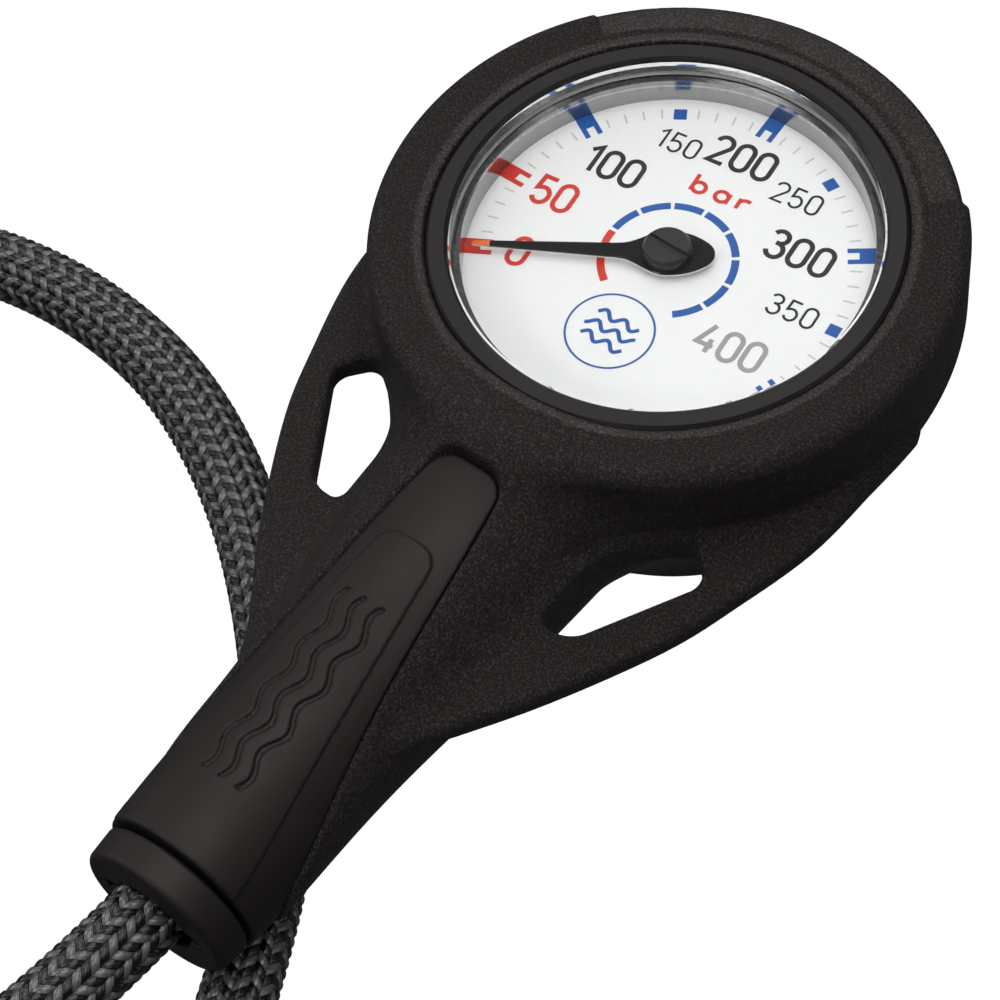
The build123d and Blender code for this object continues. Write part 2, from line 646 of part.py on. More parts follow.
def write(name, part):
    """One STEP file for each sub-part. A list becomes a group of separate solids."""
    shape = Compound(children=part) if isinstance(part, list) else part
    shape.label = name
    export_step(shape, f"parts/{name}.step")


def main():
    os.makedirs("parts", exist_ok=True)
    makers = (boot_shell, grip_sleeve, end_collar, gauge_case, blowout_plug, bezel_ring, lens, lens_gasket,
              dial_ring, dial_plate, pointer, pointer_hub, pinion_arbor, sector_gear, sector_arbor,
              lower_plate, upper_plate, plate_pillars, plate_screws, movement_screws, link_bar, link_pin,
              tip_pin, hairspring, bourdon_tube, bourdon_tip, inlet_socket, stem_o_ring, restrictor,
              air_spool, spool_o_rings, swivel_nut, hose_insert, crimp_ferrule, far_ferrule, port_fitting,
              port_o_ring, hose_near, hose_far, hose_coil)
    for maker in makers:
        write(maker.__name__, maker())


main()
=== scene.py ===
import math

import bmesh
import bpy
import numpy as np
from mathutils import Matrix, Vector


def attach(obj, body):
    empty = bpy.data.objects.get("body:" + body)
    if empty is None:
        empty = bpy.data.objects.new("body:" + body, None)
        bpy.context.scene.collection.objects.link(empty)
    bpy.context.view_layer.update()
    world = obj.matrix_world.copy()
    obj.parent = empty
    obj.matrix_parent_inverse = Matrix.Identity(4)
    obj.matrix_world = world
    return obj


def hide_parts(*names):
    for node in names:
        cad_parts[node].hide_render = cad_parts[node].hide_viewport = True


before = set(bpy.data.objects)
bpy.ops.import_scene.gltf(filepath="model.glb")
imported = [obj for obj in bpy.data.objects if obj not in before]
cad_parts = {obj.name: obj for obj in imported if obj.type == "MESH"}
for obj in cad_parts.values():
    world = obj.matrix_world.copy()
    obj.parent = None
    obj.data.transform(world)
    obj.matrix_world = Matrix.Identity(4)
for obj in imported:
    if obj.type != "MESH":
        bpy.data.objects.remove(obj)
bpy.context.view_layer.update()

# Lengths in this script are millimetres. MM turns them into Blender's metres.
MM = 0.001
GRIP_Z = 19.0
BOOT_TOP = 36.0
DIAL_FACE = 28.0
HOSE_D = 9.0


# ---------------------------------------------------------------- camera
def make_camera():
    """Long lens, from the front right and above. The camera leans a little to its left."""
    place = Vector((133.51, -166.94, 313.14)) * MM
    target = Vector((-1.057, -32.947, 19.0)) * MM
    lean = math.radians(-9.36)
    data = bpy.data.cameras.new("camera")
    data.lens = 108.12
    data.sensor_width = 36.0
    data.clip_start = 0.01
    data.clip_end = 20.0
    camera = bpy.data.objects.new("camera", data)
    turn = (target - place).to_track_quat("-Z", "Y").to_matrix()
    camera.matrix_world = (Matrix.Translation(place) @ turn.to_4x4() @ Matrix.Rotation(lean, 4, "Z"))
    bpy.context.scene.collection.objects.link(camera)
    bpy.context.scene.camera = camera


# ---------------------------------------------------------------- mesh helpers
def add_object(name, mesh):
    obj = bpy.data.objects.new(name, mesh)
    bpy.context.scene.collection.objects.link(obj)
    return obj


def mesh_from(name, points, faces, smooth=True):
    """An object from points in millimetres and lists of corner numbers."""
    mesh = bpy.data.meshes.new(name)
    scaled = np.asarray(points, float) * MM
    mesh.from_pydata([tuple(p) for p in scaled], [], [tuple(int(i) for i in f) for f in faces])
    mesh.validate()
    if smooth:
        mesh.polygons.foreach_set("use_smooth", [True] * len(mesh.polygons))
    mesh.update()
    return add_object(name, mesh)


def quads_from(name, points, quads, smooth=True):
    """As mesh_from, for large arrays of four-cornered faces."""
    mesh = bpy.data.meshes.new(name)
    count = len(quads)
    mesh.vertices.add(len(points))
    mesh.vertices.foreach_set("co", (np.asarray(points, np.float32) * MM).ravel())
    mesh.loops.add(count * 4)
    mesh.loops.foreach_set("vertex_index", np.asarray(quads, np.int32).ravel())
    mesh.polygons.add(count)
    mesh.polygons.foreach_set("loop_start", np.arange(count, dtype=np.int32) * 4)
    mesh.polygons.foreach_set("use_smooth", np.full(count, smooth))
    mesh.update(calc_edges=True)
    return add_object(name, mesh)


# ---------------------------------------------------------------- solid fields
# A field gives each point's distance to a surface, negative inside.
def meet(a, b, radius):
    """Where both are: an intersection whose edge is rounded."""
    over = np.hypot(np.maximum(a + radius, 0), np.maximum(b + radius, 0))
    return np.minimum(np.maximum(a, b), -radius) + over


def join(a, b, radius):
    """Either: a union with a fillet in its corner."""
    under = np.hypot(np.maximum(radius - a, 0), np.maximum(radius - b, 0))
    return np.maximum(np.minimum(a, b), radius) - under


def without(a, b, radius):
    return meet(a, -b, radius)


def half_planes(x, y, corners, radius):
    """Field of a convex outline, given anticlockwise, with rounded corners."""
    field = None
    for (x0, y0), (x1, y1) in zip(corners, corners[1:] + corners[:1]):
        run = math.hypot(x1 - x0, y1 - y0)
        side = ((x - x0) * (y1 - y0) - (y - y0) * (x1 - x0)) / run
        field = side if field is None else meet(field, side, radius)
    return field


def outline_field(x, y, corners):
    """Field of any closed outline."""
    x, y = np.broadcast_arrays(x, y)
    best = np.full(x.shape, 1e9, np.float32)
    inside = np.zeros(x.shape, bool)
    for (x0, y0), (x1, y1) in zip(corners, corners[1:] + corners[:1]):
        ex, ey = x1 - x0, y1 - y0
        t = np.clip(((x - x0) * ex + (y - y0) * ey) / (ex * ex + ey * ey), 0, 1)
        best = np.minimum(best, (x - x0 - t * ex) ** 2 + (y - y0 - t * ey) ** 2)
        crosses = ((y0 > y) != (y1 > y)) & (x < x0 + (y - y0) * ex / (ey if ey else 1e-9))
        inside ^= crosses
    return np.where(inside, -1, 1) * np.sqrt(best)


def surface_of(name, field, low, high, step):
    """Mesh the zero surface of a field with one point per crossed cell, then settle the points onto it."""
    axes = [np.arange(a, b + step, step, dtype=np.float32) for a, b in zip(low, high)]
    x, y, z = axes[0][:, None, None], axes[1][None, :, None], axes[2][None, None, :]
    values = field(x, y, z).astype(np.float32)
    solid = values < 0
    corners = [solid[i:i + solid.shape[0] - 1, j:j + solid.shape[1] - 1, k:k + solid.shape[2] - 1]
               for i in (0, 1) for j in (0, 1) for k in (0, 1)]
    filled = sum(c.astype(np.int8) for c in corners)
    cells = np.argwhere((filled > 0) & (filled < 8))
    number = np.full(filled.shape, -1, np.int32)
    number[tuple(cells.T)] = np.arange(len(cells))
    points = np.array(low, np.float32) + (cells + 0.5) * step
    quads = []
    for axis in range(3):
        across = [a for a in range(3) if a != axis]
        shift = np.zeros(3, int)
        shift[axis] = 1
        near = solid[:solid.shape[0] - shift[0], :solid.shape[1] - shift[1], :solid.shape[2] - shift[2]]
        far = solid[shift[0]:, shift[1]:, shift[2]:]
        edges = np.argwhere(near != far)
        edges = edges[np.all(edges[:, across] > 0, axis=1)]
        edges = edges[np.all(edges[:, across] < np.array(filled.shape)[across], axis=1)]
        ring = []
        for da, db in ((0, 0), (1, 0), (1, 1), (0, 1)):
            cell = edges.copy()
            cell[:, across[0]] -= da
            cell[:, across[1]] -= db
            ring.append(number[tuple(cell.T)])
        ring = np.stack(ring, 1)
        leaving = near[tuple(edges.T)]
        flip = leaving if axis == 1 else ~leaving
        ring[flip] = ring[flip][:, ::-1]
        quads.append(ring)
    quads = np.concatenate(quads)
    home = points.copy()
    for _ in range(4):
        points = np.clip(settle(points, field, step), home - 0.75 * step, home + 0.75 * step)
    return quads_from(name, points, quads)


def settle(points, field, step):
    """Move points along the field's slope until they lie on the surface."""
    p = points.T.astype(np.float64)
    h = 0.15 * step
    nudges = h * np.eye(3)[:, :, None]
    slope = np.stack([field(*(p + n)) - field(*(p - n)) for n in nudges]) / (2 * h)
    size = np.maximum((slope ** 2).sum(0), 0.05)
    move = -field(*p) * slope / size
    return (p + np.clip(move, -0.6 * step, 0.6 * step)).T


# ---------------------------------------------------------------- materials
def new_material(name):
    material = bpy.data.materials.new(name)
    material.use_nodes = True
    nodes, links = material.node_tree.nodes, material.node_tree.links
    shader = nodes["Principled BSDF"]
    return material, nodes, links, shader


def moulded(name, colour, roughness, grain=0.06, grain_size=0.35, depth=0.1, masked=False, wear=0.2):
    """Moulded rubber or plastic: uneven tone, uneven gloss, and a fine eroded grain. With masked, the grain's
    high points are also painted lighter, as painted highlight specks.
    """
    material, nodes, links, shader = new_material(name)
    shader.inputs["Specular IOR Level"].default_value = 0.36
    shader.inputs["Specular Tint"].default_value = (1.0, 0.93, 0.92, 1)
    place = nodes.new("ShaderNodeTexCoord")
    cloud = nodes.new("ShaderNodeTexNoise")
    cloud.inputs["Scale"].default_value = 90.0
    cloud.inputs["Detail"].default_value = 5.0
    links.new(place.outputs["Object"], cloud.inputs["Vector"])
    tone = nodes.new("ShaderNodeMix")
    tone.data_type = "RGBA"
    tone.inputs["A"].default_value = (*[c * (1 - wear) for c in colour], 1)
    tone.inputs["B"].default_value = (*[c * (1 + wear) for c in colour], 1)
    links.new(cloud.outputs["Fac"], tone.inputs["Factor"])
    fine = nodes.new("ShaderNodeTexNoise")
    fine.inputs["Scale"].default_value = 1 / (grain_size * MM)
    fine.inputs["Detail"].default_value = 3.0
    fine.inputs["Roughness"].default_value = 0.75
    links.new(place.outputs["Object"], fine.inputs["Vector"])
    if masked:
        # painted highlight: the grain's high points are coloured lighter, as glints of light on the grain
        painted_glints = nodes.new("ShaderNodeMapRange")
        painted_glints.inputs["From Min"].default_value = 0.50
        painted_glints.inputs["From Max"].default_value = 0.62
        links.new(fine.outputs["Fac"], painted_glints.inputs["Value"])
        lit = nodes.new("ShaderNodeMix")
        lit.data_type = "RGBA"
        lit.inputs["B"].default_value = (0.068, 0.060, 0.058, 1)
        links.new(painted_glints.outputs["Result"], lit.inputs["Factor"])
        links.new(tone.outputs["Result"], lit.inputs["A"])
        tone = lit
    gloss = nodes.new("ShaderNodeMapRange")
    gloss.inputs["From Min"].default_value = 0.3
    gloss.inputs["From Max"].default_value = 0.7
    gloss.inputs["To Min"].default_value = roughness - 0.06
    gloss.inputs["To Max"].default_value = roughness + 0.08
    links.new(cloud.outputs["Fac"], gloss.inputs["Value"])
    links.new(gloss.outputs["Result"], shader.inputs["Roughness"])
    bump = nodes.new("ShaderNodeBump")
    bump.inputs["Strength"].default_value = grain
    bump.inputs["Distance"].default_value = depth * MM
    if masked:
        mask = nodes.new("ShaderNodeAttribute")
        mask.attribute_name = "grain"
        links.new(mask.outputs["Fac"], bump.inputs["Strength"])
    links.new(fine.outputs["Fac"], bump.inputs["Height"])
    links.new(bump.outputs["Normal"], shader.inputs["Normal"])
    links.new(tone.outputs["Result"], shader.inputs["Base Color"])
    return material


def metal(name, colour, roughness, brushed=0.3):
    """Turned or stamped metal with fine tool marks and uneven gloss."""
    material, nodes, links, shader = new_material(name)
    place = nodes.new("ShaderNodeTexCoord")
    stretch = nodes.new("ShaderNodeMapping")
    stretch.inputs["Scale"].default_value = (1.0, 12.0, 12.0)
    links.new(place.outputs["Object"], stretch.inputs["Vector"])
    marks = nodes.new("ShaderNodeTexNoise")
    marks.inputs["Scale"].default_value = 260.0
    marks.inputs["Detail"].default_value = 6.0
    links.new(stretch.outputs["Vector"], marks.inputs["Vector"])
    gloss = nodes.new("ShaderNodeMapRange")
    gloss.inputs["To Min"].default_value = max(roughness - 0.1, 0.03)
    gloss.inputs["To Max"].default_value = roughness + 0.12
    links.new(marks.outputs["Fac"], gloss.inputs["Value"])
    links.new(gloss.outputs["Result"], shader.inputs["Roughness"])
    tone = nodes.new("ShaderNodeMix")
    tone.data_type = "RGBA"
    tone.inputs["A"].default_value = (*[c * 0.82 for c in colour], 1)
    tone.inputs["B"].default_value = (*colour, 1)
    links.new(marks.outputs["Fac"], tone.inputs["Factor"])
    links.new(tone.outputs["Result"], shader.inputs["Base Color"])
    bump = nodes.new("ShaderNodeBump")
    bump.inputs["Strength"].default_value = 0.1 * brushed
    bump.inputs["Distance"].default_value = 0.02 * MM
    links.new(marks.outputs["Fac"], bump.inputs["Height"])
    links.new(bump.outputs["Normal"], shader.inputs["Normal"])
    shader.inputs["Metallic"].default_value = 1.0
    return material


def printed(name, colour, roughness=0.35):
    """Printing ink or stoved paint, faintly mottled."""
    material, nodes, links, shader = new_material(name)
    place = nodes.new("ShaderNodeTexCoord")
    mottle = nodes.new("ShaderNodeTexNoise")
    mottle.inputs["Scale"].default_value = 1500.0
    mottle.inputs["Detail"].default_value = 3.0
    links.new(place.outputs["Object"], mottle.inputs["Vector"])
    tone = nodes.new("ShaderNodeMix")
    tone.data_type = "RGBA"
    tone.inputs["A"].default_value = (*[c * 0.95 for c in colour], 1)
    tone.inputs["B"].default_value = (*[min(c * 1.03, 1) for c in colour], 1)
    links.new(mottle.outputs["Fac"], tone.inputs["Factor"])
    links.new(tone.outputs["Result"], shader.inputs["Base Color"])
    shader.inputs["Roughness"].default_value = roughness
    return material


def clear_lens():
    """Acrylic that bends light but lets lamps through to the dial."""
    material, nodes, links, shader = new_material("lens_clear")
    shader.inputs["Base Color"].default_value = (0.985, 0.99, 0.99, 1)
    shader.inputs["Transmission Weight"].default_value = 1.0
    shader.inputs["Roughness"].default_value = 0.0
    shader.inputs["IOR"].default_value = 1.49
    clear = nodes.new("ShaderNodeBsdfTransparent")
    clear.inputs["Color"].default_value = (0.93, 0.94, 0.94, 1)
    path = nodes.new("ShaderNodeLightPath")
    mix = nodes.new("ShaderNodeMixShader")
    links.new(path.outputs["Is Shadow Ray"], mix.inputs["Fac"])
    links.new(shader.outputs["BSDF"], mix.inputs[1])
    links.new(clear.outputs["BSDF"], mix.inputs[2])
    links.new(mix.outputs["Shader"], nodes["Material Output"].inputs["Surface"])
    return material


def braid_yarn(name, colour, roughness, coat):
    """A flat bundle of glossy filaments that run along the float. Its colour carries painted shade: darker in
    the grooves between filaments and towards the ends, where the float dips under its neighbours.
    """
    material, nodes, links, shader = new_material(name)
    place = nodes.new("ShaderNodeUVMap")
    place.uv_map = "float"
    split = nodes.new("ShaderNodeSeparateXYZ")
    links.new(place.outputs["UV"], split.inputs["Vector"])
    turns = nodes.new("ShaderNodeMath")
    turns.operation = "MULTIPLY"
    turns.inputs[1].default_value = 2 * math.pi * 6
    links.new(split.outputs["Y"], turns.inputs[0])
    ridge = nodes.new("ShaderNodeMath")
    ridge.operation = "SINE"
    links.new(turns.outputs["Value"], ridge.inputs[0])
    strands = nodes.new("ShaderNodeMapRange")
    strands.inputs["From Min"].default_value = -1.0
    links.new(ridge.outputs["Value"], strands.inputs["Value"])
    # painted shade: the grooves between filaments, where the bump dips, are coloured darker
    tone = nodes.new("ShaderNodeMix")
    tone.data_type = "RGBA"
    tone.inputs["A"].default_value = (*[c * 0.45 for c in colour], 1)
    tone.inputs["B"].default_value = (*colour, 1)
    links.new(strands.outputs["Result"], tone.inputs["Factor"])
    painted_dip_shade = nodes.new("ShaderNodeMapRange")       # painted shade: darker where the float dips under its neighbours
    painted_dip_shade.interpolation_type = "SMOOTHSTEP"
    painted_dip_shade.inputs["From Min"].default_value = 0.26
    painted_dip_shade.inputs["From Max"].default_value = 0.47
    reach = nodes.new("ShaderNodeMath")
    reach.operation = "SUBTRACT"
    reach.inputs[1].default_value = 0.5
    links.new(split.outputs["X"], reach.inputs[0])
    away = nodes.new("ShaderNodeMath")
    away.operation = "ABSOLUTE"
    links.new(reach.outputs["Value"], away.inputs[0])
    links.new(away.outputs["Value"], painted_dip_shade.inputs["Value"])
    shade = nodes.new("ShaderNodeMix")
    shade.data_type = "RGBA"
    shade.inputs["B"].default_value = (0.004, 0.004, 0.004, 1)
    links.new(painted_dip_shade.outputs["Result"], shade.inputs["Factor"])
    links.new(tone.outputs["Result"], shade.inputs["A"])
    links.new(shade.outputs["Result"], shader.inputs["Base Color"])
    bump = nodes.new("ShaderNodeBump")
    bump.inputs["Strength"].default_value = 0.6
    bump.inputs["Distance"].default_value = 0.06 * MM
    links.new(strands.outputs["Result"], bump.inputs["Height"])
    links.new(bump.outputs["Normal"], shader.inputs["Normal"])
    shader.inputs["Roughness"].default_value = roughness
    shader.inputs["Coat Weight"].default_value = coat
    shader.inputs["Coat Roughness"].default_value = 0.16
    return material


# ---------------------------------------------------------------- hose
ROUTE_NEAR = ((0.0, -76.0, 19.0), (0.0, -110.7, 19.0), (-14.6, -147.0, 17.0), (-44.6, -172.1, 14.6))
ROUTE_FAR = ((-129.3, -104.2, 4.5), (-130.2, -79.2, 4.5), (-121.2, -55.9, 4.5), (-103.0, -39.2, 4.5),
             (-80.0, -32.4, 4.5), (-59.5, -33.2, 4.5), (-42.5, -39.2, 4.5), (-24.0, -51.5, 4.5),
             (-3.2, -73.0, 4.5), (8.6, -96.0, 4.5), (17.2, -119.5, 6.2), (18.0, -141.5, 7.0))
COIL_CENTRE = (-82.0, -133.0)
COIL_R = 45.0
COIL_JOIN, COIL_LEAVE = -80.0, -540.0
STACKED_TO, DOWN_AT = -190.0, -300.0


def coil_points():
    """The turns between the two ends, clockwise. The first lies on the last, then comes down to the floor."""
    laps = COIL_JOIN - COIL_LEAVE
    count = round(laps / 23.0)
    step = laps / count
    points = []
    for k in range(count + 1):
        angle = COIL_JOIN - k * step
        drop = min(max((STACKED_TO - angle) / (STACKED_TO - DOWN_AT), 0), 1)
        height = 13.5 - 9.0 * drop * drop * (3 - 2 * drop)
        radius = (COIL_R + 0.4) / math.cos(math.radians(step / 2))
        points.append((COIL_CENTRE[0] + radius * math.cos(math.radians(angle)),
                       COIL_CENTRE[1] + radius * math.sin(math.radians(angle)), height))
    return points


def hose_line():
    """Evenly read points of the hose's smooth centreline, in millimetres."""
    controls = list(ROUTE_NEAR) + coil_points() + list(ROUTE_FAR)
    curve = bpy.data.curves.new("hose_line", "CURVE")
    curve.dimensions = "3D"
    spline = curve.splines.new("NURBS")
    spline.points.add(len(controls) - 1)
    for point, place in zip(spline.points, controls):
        point.co = (*[c * MM for c in place], 1.0)
    spline.order_u = 3
    spline.use_endpoint_u = True
    spline.resolution_u = 24
    holder = bpy.data.objects.new("hose_line", curve)
    mesh = bpy.data.meshes.new_from_object(holder)
    line = np.array([v.co for v in mesh.vertices]) / MM
    bpy.data.objects.remove(holder)
    bpy.data.meshes.remove(mesh)
    gaps = np.linalg.norm(np.diff(line, axis=0), axis=1)
    along = np.r_[0, np.cumsum(gaps)]
    return line, along


def carried_frames(line):
    """Two side directions carried along the line without twist."""
    tangent = np.gradient(line, axis=0)
    tangent /= np.linalg.norm(tangent, axis=1)[:, None]
    side = np.zeros_like(line)
    side[0] = np.cross(tangent[0], (0.0, 0.0, 1.0))
    side[0] /= np.linalg.norm(side[0])
    for k in range(1, len(line)):
        s = side[k - 1] - tangent[k] * (side[k - 1] @ tangent[k])
        side[k] = s / np.linalg.norm(s)
    return side, np.cross(tangent, side)


BRAID_COLUMNS, BRAID_LEAD = 16, 20.8        # floats round the hose, and a carrier's travel in one turn
FLOAT_HALF_ANGLE = math.radians(15.0)
CORE_DEPTH, CORE_STEP, CORE_ROUND = 0.55, 1.5, 32
GREY_YARN, BLACK_YARN, CORE = range(3)


def make_hose(fitting):
    """Braided hose: raised floats in two colours over a dark core, laid along its line."""
    line, along = hose_line()
    total = along[-1]
    side, lift = carried_frames(line)

    def place(distance, angle, radius):
        """Points at a distance along the hose, round it and out from its middle."""
        flat = np.ravel(distance)
        middle, out, up = (np.stack([np.interp(flat, along, a[:, i]) for i in range(3)], 1)
                           for a in (line, side, lift))
        c, s, r = np.cos(np.ravel(angle)), np.sin(np.ravel(angle)), np.ravel(radius)
        return middle + (out * c[:, None] + up * s[:, None]) * r[:, None]

    pitch = BRAID_LEAD / BRAID_COLUMNS
    across, along_n = 4, 5
    uu, vv = np.meshgrid(np.linspace(-1, 1, along_n), np.linspace(-1, 1, across), indexing="ij")
    crown = 0.40 * uu ** 2 + 0.16 * vv ** 4 + 0.25 * np.abs(uu) ** 6
    float_uv = np.stack([uu.ravel() * 0.5 + 0.5, vv.ravel() * 0.5 + 0.5], 1)
    points, uvs, quads, colours = [], [], [], []
    grid = np.arange(along_n * across).reshape(along_n, across)
    patch = np.stack([grid[:-1, :-1], grid[1:, :-1], grid[1:, 1:], grid[:-1, 1:]], -1).reshape(-1, 4)
    start = 0
    for column in range(BRAID_COLUMNS):
        lean = 1 if column % 2 == 0 else -1
        angle = 2 * math.pi * column / BRAID_COLUMNS + uu * FLOAT_HALF_ANGLE
        slant = lean * uu * FLOAT_HALF_ANGLE * BRAID_LEAD / (2 * math.pi) + vv * pitch * 0.47
        middles = np.arange(pitch * (0.75 + 0.5 * (column % 4 > 1)), total - pitch, pitch)
        for row, middle in enumerate(middles):
            points.append(place(middle + slant, angle, HOSE_D / 2 - crown))
            uvs.append(float_uv)
            quads.append(patch + start)
            colours.append(np.full(len(patch), (row + column // 2) % 2))
            start += along_n * across
    rings = int(total / CORE_STEP)
    s = np.repeat(np.linspace(0, total, rings), CORE_ROUND)
    a = np.tile(np.linspace(0, 2 * math.pi, CORE_ROUND, endpoint=False), rings)
    points.append(place(s, a, np.full(len(s), HOSE_D / 2 - CORE_DEPTH)))
    uvs.append(np.zeros((len(s), 2)))
    i = np.arange(rings - 1)[:, None] * CORE_ROUND
    j = np.arange(CORE_ROUND)[None, :]
    k = (j + 1) % CORE_ROUND
    core = np.stack([i + j, i + k, i + CORE_ROUND + k, i + CORE_ROUND + j], -1).reshape(-1, 4) + start
    quads.append(core)
    colours.append(np.full(len(core), CORE))
    points, quads = np.concatenate(points), np.concatenate(quads)
    hose = quads_from("braided_hose", points, quads)
    layer = hose.data.uv_layers.new(name="float")
    layer.data.foreach_set("uv", np.concatenate(uvs)[quads.ravel()].astype(np.float32).ravel())
    hose.data.materials.append(braid_yarn("braid_grey", (0.17, 0.166, 0.16), 0.16, 1.0))
    hose.data.materials.append(braid_yarn("braid_black", (0.0045, 0.0042, 0.004), 0.22, 0.5))
    hose.data.materials.append(moulded("hose_core", (0.01, 0.01, 0.01), 0.7))
    hose.data.polygons.foreach_set("material_index", np.concatenate(colours).astype(np.int32))
    fix_outward(hose)
    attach(hose, "root")
    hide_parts("hose_near", "hose_far", "hose_coil")


def fix_outward(obj):
    """Turn faces outward where a formula may have left them inside out."""
    mesh = bmesh.new()
    mesh.from_mesh(obj.data)
    bmesh.ops.recalc_face_normals(mesh, faces=mesh.faces)
    mesh.to_mesh(obj.data)
    mesh.free()


# ---------------------------------------------------------------- boot
HEAD_R, HEAD_WALL_LOW = 35.2, 21.0
BACK_R = 26.0
LIP_IN_R, LIP_UNDER = 28.2, 34.5
CASE_R, CASE_LOW = 29.8, 7.0
RECESS_R, RECESS_CREST_R, RECESS_HALF_ANGLE = 34.5, 30.5, 50.0
VENT_R, VENT_Y = 6.0, 8.0
WING_TOP = 24.0
WING_THICK = 3.6
GRIP_FLAT_Z = 9.6
SHELL_END = -88.0
GRIP_STATIONS = ((-20.0, 16.5), (-32.0, 14.9), (-40.0, 14.2), (-49.0, 13.6), (-61.0, 12.1), (-74.0, 11.2),
                 (-88.0, 10.8))
WING_EDGE = ((35.2, -1.0), (34.9, -10.4), (33.9, -20.0), (31.0, -30.2), (27.6, -39.6), (20.8, -52.2),
             (14.2, -62.2), (11.0, -66.5))
CLIP_HOLE = [(14.3, -45.6), (18.6, -45.4), (26.9, -31.2), (23.3, -27.2), (17.5, -31.5), (14.6, -36.0)]
GRIP_SHAPE = np.polyfit(*zip(*GRIP_STATIONS), 5)
# The sleeve shows in a tongue-shaped window in the shell, and carries a raised panel of the same shape.
# Each is given by its top edge and by its half width, in degrees round the grip, at places along it.
WINDOW_TOP, WINDOW_SPREAD = -37.0, ((-37.0, 18.6), (-49.0, 27.0), (-61.0, 40.0), (-74.0, 58.0), (-84.0, 84.0),
                                    (-88.0, 97.0))
PANEL_TOP, PANEL_SPREAD = -48.5, ((-48.5, 16.2), (-61.0, 25.0), (-74.0, 37.5), (-88.0, 52.8))
WINDOW_SHAPE = np.polyfit(*zip(*WINDOW_SPREAD), 3)
PANEL_SHAPE = np.polyfit(*zip(*PANEL_SPREAD), 2)


def grip_radius(y):
    return np.polyval(GRIP_SHAPE, np.clip(y, -92.0, -18.0))


def through(points, steps=6):
    """Smooth curve through given points, for an outline."""
    p = [points[0]] + list(points) + [points[-1]]
    out = []
    for a, b, c, d in zip(p, p[1:], p[2:], p[3:]):
        for k in range(steps):
            t = k / steps
            out.append(tuple(0.5 * (2 * b[i] + (c[i] - a[i]) * t
                                    + (2 * a[i] - 5 * b[i] + 4 * c[i] - d[i]) * t * t
                                    + (3 * b[i] - a[i] - 3 * c[i] + d[i]) * t ** 3) for i in (0, 1)))
    return out + [points[-1]]


WING_OUTLINE = through(WING_EDGE) + [(6.0, -66.5), (6.0, -1.0)]


def tongue(x, y, z, top, shape, corner):
    """Field of a tongue on the grip's surface that opens towards the grip's end."""
    low = np.clip(y, -93.0, -30.0)
    spread = np.radians(np.polyval(shape, low))
    slope = np.radians(np.polyval(np.polyder(shape), low)) * grip_radius(y)
    turn = np.abs(np.arctan2(x, z - GRIP_Z))
    side = (turn - spread) * grip_radius(y) / np.hypot(1, slope)
    return meet(y - top, side, corner)


def boot_field(x, y, z):
    """The whole rubber shell. r is measured from the dial's axis and rho from the grip's."""
    r = np.hypot(x, y)
    rho = np.hypot(x, z - GRIP_Z)
    head = meet(r - HEAD_R, z - BOOT_TOP, 2.2)
    head = meet(head, (r - HEAD_R) * 0.854 - (z - HEAD_WALL_LOW) * 0.520, 1.6)
    head = meet(head, 8.0 - z, 0.2)
    foot = meet((r - BACK_R) * 0.9615 - z * 0.2747, -z, 1.2)
    foot = meet(foot, z - 20.0, 0.2)
    head = join(head, foot, 3.0)
    grip = meet(rho - grip_radius(y), y + 12.0, 0.2)
    body = join(head, grip, 6.0)
    slab = np.abs(z - WING_TOP + WING_THICK / 2) - WING_THICK / 2
    wing = meet(outline_field(np.abs(x), y, WING_OUTLINE), slab, 1.3)
    body = join(body, wing, 2.2)
    hole = half_planes(np.abs(x), y, CLIP_HOLE, 1.6)
    body = without(body, hole, 0.7)
    under = np.maximum(z - GRIP_FLAT_Z, y + 52.0)
    body = without(body, under, 1.2)
    far = y - np.abs(x) / math.tan(math.radians(RECESS_HALF_ANGLE))
    slope = (z - BOOT_TOP) * 0.98 + (r - RECESS_CREST_R) * 0.19
    corner = 0.8
    rounding = np.hypot(np.maximum(r - RECESS_R + corner, 0), np.maximum(slope + corner, 0)) - corner
    recess = np.minimum(np.maximum(r - RECESS_R, slope), 0) + rounding
    recess = np.maximum(np.maximum(-recess, 30.0 - r), HEAD_WALL_LOW + 0.5 - z)
    body = without(body, np.maximum(recess, -far), 0.35)
    cavity = np.maximum(np.maximum(r - CASE_R, CASE_LOW - z), (r - CASE_R) * 0.93 - (z - 18.0) * 0.37)
    cavity = np.maximum(cavity, z - LIP_UNDER)
    body = without(body, cavity, 0.1)
    body = without(body, np.maximum(r - LIP_IN_R, 30.0 - z), 0.5)
    bore = np.maximum(rho - grip_radius(y) + 1.6, y + 26.5)
    body = without(body, bore, 0.2)
    window = tongue(x, y, z, WINDOW_TOP, WINDOW_SHAPE, 2.6)
    body = without(body, join(window, y - SHELL_END, 3.0), 0.4)
    vent = np.maximum(np.hypot(x, y - VENT_Y) - VENT_R, z - CASE_LOW - 1.0)
    return without(body, vent, 0.6)


GROOVE = 0.14          # between the shell's edge and the sleeve in its window
WAVE_GAP, WAVE_HEIGHT, WAVE_LENGTH = 2.5, 0.6, 6.4      # three sunk waves on the panel
WAVES_FROM, WAVES_TO = -57.0, -82.6
SLEEVE_TOP, SLEEVE_END = -36.2, -91.8
SLEEVE_BORE_R, SLEEVE_MOUTH_R = 8.5, 7.3
FERRULE_START = -54.2
COLLAR_R, COLLAR_START, COLLAR_END = 9.5, -92.4, -96.6


